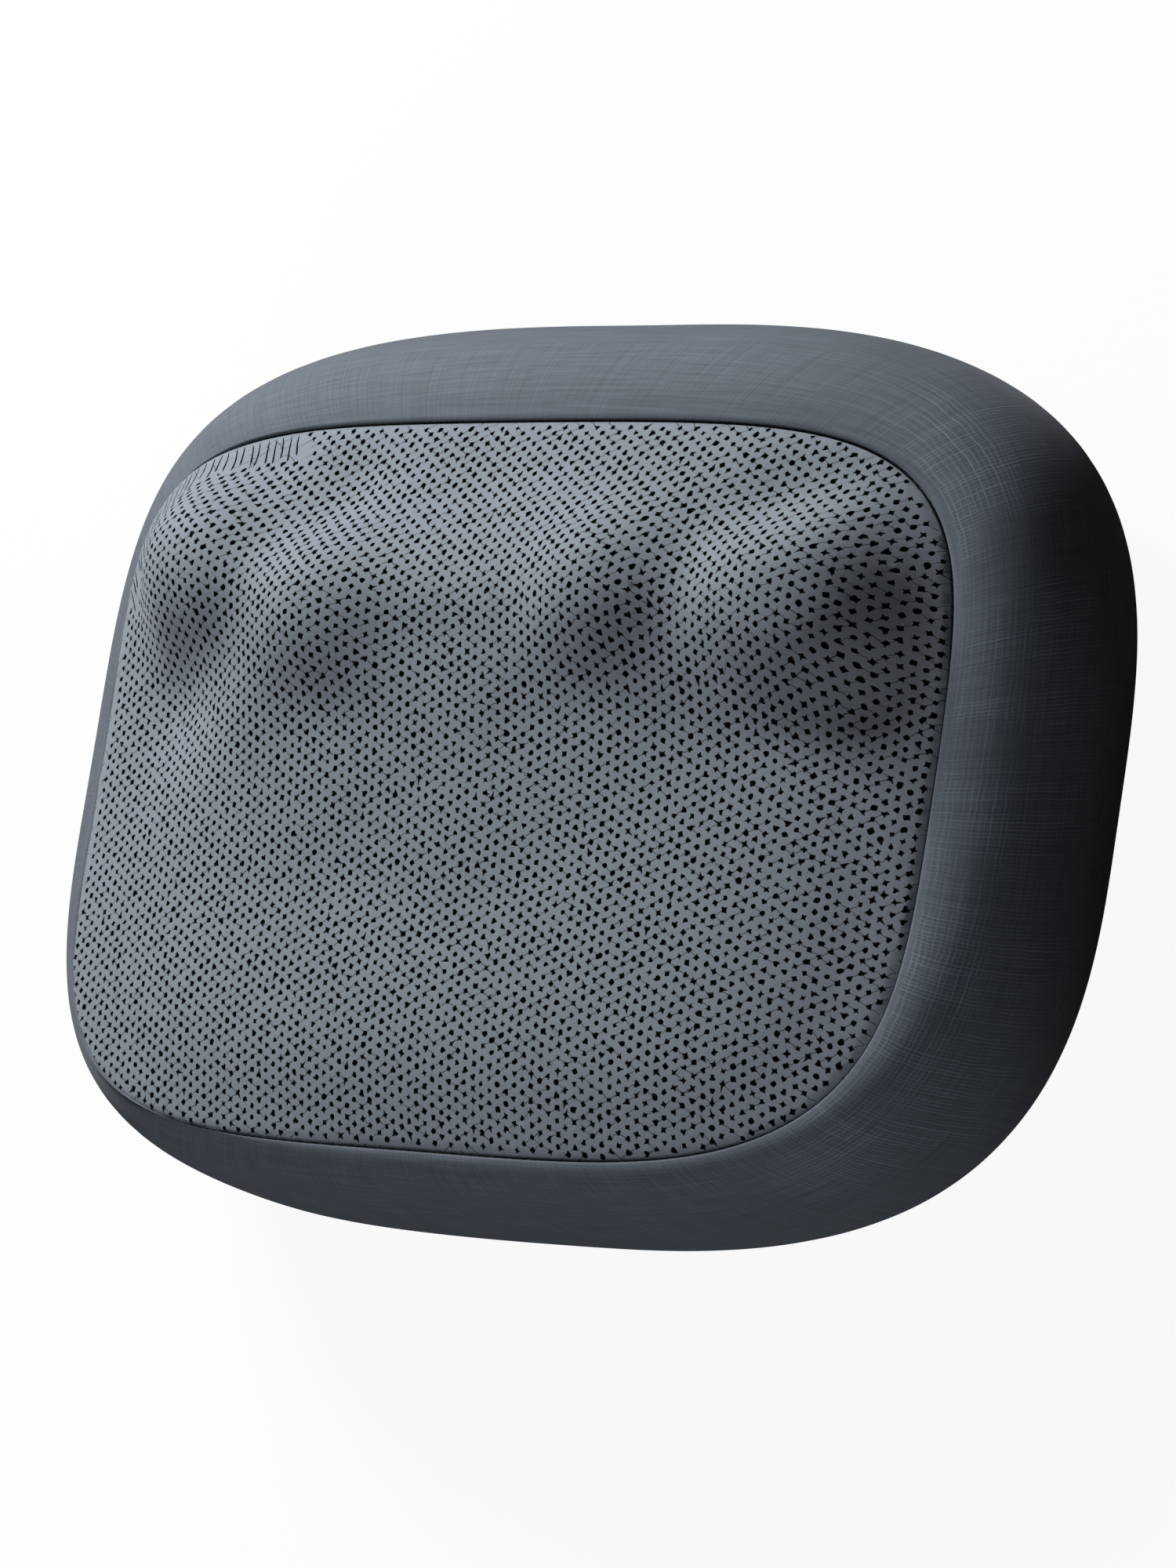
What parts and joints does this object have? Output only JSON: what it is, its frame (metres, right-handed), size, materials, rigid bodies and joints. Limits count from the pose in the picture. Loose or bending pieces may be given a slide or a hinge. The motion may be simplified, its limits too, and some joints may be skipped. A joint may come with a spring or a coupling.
{
  "type": "shiatsu massage pillow",
  "caption": "Padded massage pillow with a perforated front panel, a stretch cover and motor-driven, counter-turning arms that carry ribbed kneading heads.",
  "frame": {"origin": "on the surface the pillow lies on, under the middle of its cover", "axes": "+X along the long side, to the right seen from the front; +Y towards the top edge; +Z out of the massaging front"},
  "size_m": [0.3308, 0.25, 0.1136],
  "materials": {
    "mesh_fabric": "perforated knitted cloth, small dark holes in staggered rows",
    "cover_fabric": "smooth stretch knit, fine crossed threads",
    "seam_thread": "dark thread seam",
    "lining_fabric": "black stretch lining",
    "webbing": "ribbed black webbing",
    "foam": "open cell foam",
    "housing_plastic": "fine moulded texture",
    "trim_plastic": "satin moulded",
    "light_lens": "frosted",
    "gear_plastic": "natural moulded",
    "head_plastic": "polished, ribbed",
    "lamp_lens": "clear tinted",
    "steel": "turned",
    "brass": "turned",
    "circuit_board": "solder mask",
    "rubber": "matte"
  },
  "bodies": {
    "pillow": {"back_panel": "cover_fabric", "base_shell": "housing_plastic", "control_board": "circuit_board", "control_plate": "trim_plastic", "dc_jack": "trim_plastic", "elastic_strap": "webbing", "foam_surround": "foam", "foot_1": "rubber", "foot_2": "rubber", "foot_3": "rubber", "foot_4": "rubber", "gear_carrier": "housing_plastic", "heat_lamp_1": "lamp_lens", "heat_lamp_2": "lamp_lens", "housing_screw_1": "steel", "housing_screw_2": "steel", "housing_screw_3": "steel", "housing_screw_4": "steel", "idler_pin_left": "steel", "idler_pin_right": "steel", "inner_liner": "lining_fabric", "lamp_board": "circuit_board", "light_ring": "light_lens", "lower_foam_pad": "foam", "mesh_front_panel": "mesh_fabric", "motor_bracket": "steel", "motor_can": "steel", "motor_end_cap": "housing_plastic", "motor_lead": "rubber", "seam_welt": "seam_thread", "side_cover": "cover_fabric", "spindle_bush_left": "brass", "spindle_bush_right": "brass", "strap_patch_left": "webbing", "strap_patch_right": "webbing", "top_frame": "housing_plastic", "worm_bearing": "housing_plastic", "zipper_tape": "webbing"},
    "left_arm": {"spindle_left": "steel", "output_gear_left": "gear_plastic", "arm_left": "housing_plastic", "head_screw_left_inner": "steel", "head_screw_left_outer": "steel"},
    "right_arm": {"spindle_right": "steel", "output_gear_right": "gear_plastic", "arm_right": "housing_plastic", "head_screw_right_inner": "steel", "head_screw_right_outer": "steel"},
    "left_inner_head": {"massage_head_left_inner": "head_plastic"},
    "left_outer_head": {"massage_head_left_outer": "head_plastic"},
    "right_inner_head": {"massage_head_right_inner": "head_plastic"},
    "right_outer_head": {"massage_head_right_outer": "head_plastic"},
    "left_gear": {"stepped_gear_left": "gear_plastic"},
    "right_gear": {"stepped_gear_right": "gear_plastic"},
    "worm_drive": {"worm_shaft": "steel", "worm": "brass"},
    "button": {"power_button": "trim_plastic"},
    "zip_slider": {"zipper_slider": "steel"},
    "zip_pull": {"zipper_pull": "steel"}
  },
  "joints": [
    {"name": "left_arm_spin", "type": "hinge", "parent": "pillow", "child": "left_arm", "pos_m": [-0.0695, 0.033, 0.05], "axis": [0, 0, 1], "continuous": true},
    {"name": "right_arm_spin", "type": "hinge", "parent": "pillow", "child": "right_arm", "pos_m": [0.0695, 0.033, 0.05], "axis": [0, 0, 1], "continuous": true},
    {"name": "left_gear_spin", "type": "hinge", "parent": "pillow", "child": "left_gear", "pos_m": [-0.0275, 0.033, 0.036], "axis": [0, 0, 1], "continuous": true},
    {"name": "right_gear_spin", "type": "hinge", "parent": "pillow", "child": "right_gear", "pos_m": [0.0275, 0.033, 0.036], "axis": [0, 0, 1], "continuous": true},
    {"name": "worm_spin", "type": "hinge", "parent": "pillow", "child": "worm_drive", "pos_m": [0, 0.033, 0.03], "axis": [0, 1, 0], "continuous": true},
    {"name": "left_inner_head_spin", "type": "hinge", "parent": "left_arm", "child": "left_inner_head", "pos_m": [-0.04052, 0.02524, 0.07], "axis": [0, 0, 1], "continuous": true},
    {"name": "left_outer_head_spin", "type": "hinge", "parent": "left_arm", "child": "left_outer_head", "pos_m": [-0.09848, 0.04077, 0.07], "axis": [0, 0, 1], "continuous": true},
    {"name": "right_inner_head_spin", "type": "hinge", "parent": "right_arm", "child": "right_inner_head", "pos_m": [0.0395, 0.033, 0.07], "axis": [0, 0, 1], "continuous": true},
    {"name": "right_outer_head_spin", "type": "hinge", "parent": "right_arm", "child": "right_outer_head", "pos_m": [0.0995, 0.033, 0.07], "axis": [0, 0, 1], "continuous": true},
    {"name": "button_press", "type": "slide", "parent": "pillow", "child": "button", "axis": [1, 0, 0], "range_m": [0, 0.0012], "stiffness_N_per_m": 300, "springref_m": -0.0008},
    {"name": "zip_slide", "type": "slide", "parent": "pillow", "child": "zip_slider", "axis": [1, 0, 0], "range_m": [0, 0.16]},
    {"name": "zip_pull_flip", "type": "hinge", "parent": "zip_slider", "child": "zip_pull", "pos_m": [-0.0728, -0.05, 0.0015], "axis": [0, 1, 0], "range_deg": [0, 130]}
  ],
  "couplings": [
    {"joint": "right_arm_spin", "follows": "left_arm_spin", "ratio": -1},
    {"joint": "left_gear_spin", "follows": "left_arm_spin", "ratio": -3},
    {"joint": "right_gear_spin", "follows": "left_arm_spin", "ratio": 3},
    {"joint": "worm_spin", "follows": "left_arm_spin", "ratio": -45}
  ]
}
